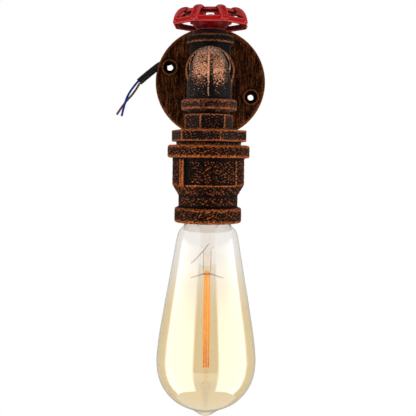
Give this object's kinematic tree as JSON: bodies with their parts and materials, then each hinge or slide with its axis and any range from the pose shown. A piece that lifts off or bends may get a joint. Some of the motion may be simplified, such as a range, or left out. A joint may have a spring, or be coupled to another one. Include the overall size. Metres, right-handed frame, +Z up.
{
  "type": "pipe wall light",
  "caption": "Wall light of iron pipe fittings: round wall flange, tee with a turning handwheel, elbow and a hanging amber bulb in a reducing socket.",
  "frame": {"origin": "centre of the wall flange's back face, on the wall plane", "axes": "+Z up, +Y into the wall, the light reaches towards -Y"},
  "size_m": [0.1256, 0.194, 0.2808],
  "materials": {
    "fittings": "black, dry-brushed with copper paint on the edges",
    "dark_fittings": "black, matt",
    "wheel_paint": "red gloss paint, worn pale on the edges",
    "bright_steel": "zinc-plated",
    "holder_plastic": "black phenolic",
    "holder_ceramic": "glazed white",
    "contact_brass": "plain brass",
    "bulb_cap_metal": "bright",
    "bulb_black": "black opaque glass",
    "amber_glass": "clear, amber tinted, paler at the neck",
    "clear_glass": "clear",
    "filament": "orange coated strands, unlit",
    "black_sheath": "matt black",
    "blue_core": "satin blue",
    "brown_core": "satin brown"
  },
  "bodies": {
    "fixture": {"wall_flange": "fittings", "flange_nipple": "fittings", "pipe_tee": "fittings", "bonnet_plug": "dark_fittings", "link_nipple": "dark_fittings", "pipe_elbow": "fittings", "hex_nipple": "fittings", "hex_bushing": "fittings", "reducing_socket": "fittings", "threaded_tube": "bright_steel", "tube_locknut": "bright_steel", "holder_cap": "holder_plastic", "holder_body": "holder_plastic", "contact_block": "holder_ceramic", "centre_contact": "contact_brass", "screw_shell": "contact_brass", "terminal_screws": "bright_steel", "holder_wire_blue": "blue_core", "holder_wire_brown": "brown_core", "lead_sheath": "black_sheath", "lead_core_blue": "blue_core", "lead_core_brown": "brown_core", "lead_clip": "bright_steel", "clip_screw": "bright_steel"},
    "wheel": {"handwheel": "wheel_paint", "wheel_stem": "bright_steel", "wheel_washer": "bright_steel", "wheel_nut": "bright_steel", "stem_circlip": "bright_steel"},
    "bulb_foot": {"bulb_contact": "bulb_cap_metal"},
    "bulb": {"bulb_glass": "amber_glass", "bulb_cap": "bulb_cap_metal", "bulb_insulator": "bulb_black", "bulb_stem": "clear_glass", "bulb_filaments": "filament", "bulb_support": "bright_steel", "bulb_feed_wires": "bright_steel", "bulb_tie_wire": "bright_steel"}
  },
  "joints": [
    {"name": "wheel_turn", "type": "hinge", "parent": "fixture", "child": "wheel", "pos_m": [0, -0.068, 0.033], "axis": [0, 0, 1], "continuous": true},
    {"name": "bulb_travel", "type": "slide", "parent": "fixture", "child": "bulb_foot", "axis": [0, 0, -1], "range_m": [0, 0.02]},
    {"name": "bulb_turn", "type": "hinge", "parent": "bulb_foot", "child": "bulb", "pos_m": [0, -0.162, -0.09], "axis": [0, 0, -1], "range_deg": [0, 1984]}
  ],
  "couplings": [
    {"joint": "bulb_travel", "follows": "bulb_turn", "m_per_rad": 0.00057757}
  ]
}
